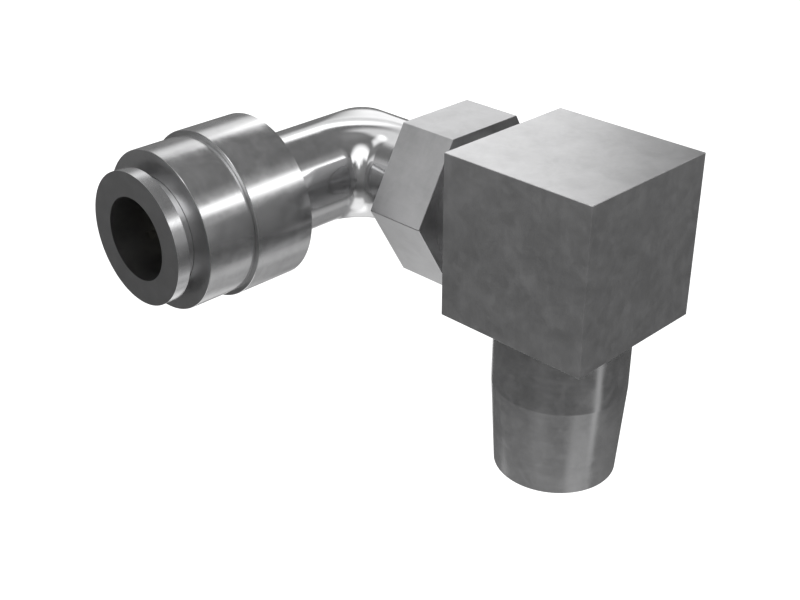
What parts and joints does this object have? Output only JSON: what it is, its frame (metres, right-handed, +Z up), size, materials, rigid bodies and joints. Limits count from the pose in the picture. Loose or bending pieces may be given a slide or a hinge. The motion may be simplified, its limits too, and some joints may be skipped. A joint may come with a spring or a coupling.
{
  "type": "grease line elbow",
  "caption": "Swivelling push-in elbow on a square right-angle adapter with a taper pipe spigot, for a small grease line.",
  "frame": {"origin": "on the axis of the inlet spigot, at the underside of the square block", "axes": "+Z up out of the block's top with the inlet spigot pointing along -Z, the hex stud leaving the block along -X and the tube's mouth facing -Y"},
  "size_m": [0.034, 0.0289, 0.0254],
  "materials": {
    "block_steel": "satin, lightly smudged",
    "stud_steel": "satin",
    "polished_steel": "mirror polished",
    "turned_steel": "turned and polished",
    "collet_steel": "turned",
    "clip_steel": "spring temper",
    "seal_rubber": "moulded",
    "ring_plastic": "matte"
  },
  "bodies": {
    "adapter": {"block_body": "block_steel", "hex_stud": "stud_steel"},
    "elbow": {"elbow_body": "polished_steel", "swivel_seal": "seal_rubber", "swivel_clip": "clip_steel", "socket_housing": "turned_steel", "cartridge_cap": "turned_steel", "backing_ring": "ring_plastic", "tube_seal": "seal_rubber"},
    "release_collet": {"collet": "collet_steel"}
  },
  "joints": [
    {"name": "elbow_swivel", "type": "hinge", "parent": "adapter", "child": "elbow", "pos_m": [-0.01, 0, 0.00635], "axis": [1, 0, 0], "continuous": true},
    {"name": "collet_release", "type": "slide", "parent": "elbow", "child": "release_collet", "axis": [0, 1, 0], "range_m": [0, 0.001]}
  ]
}
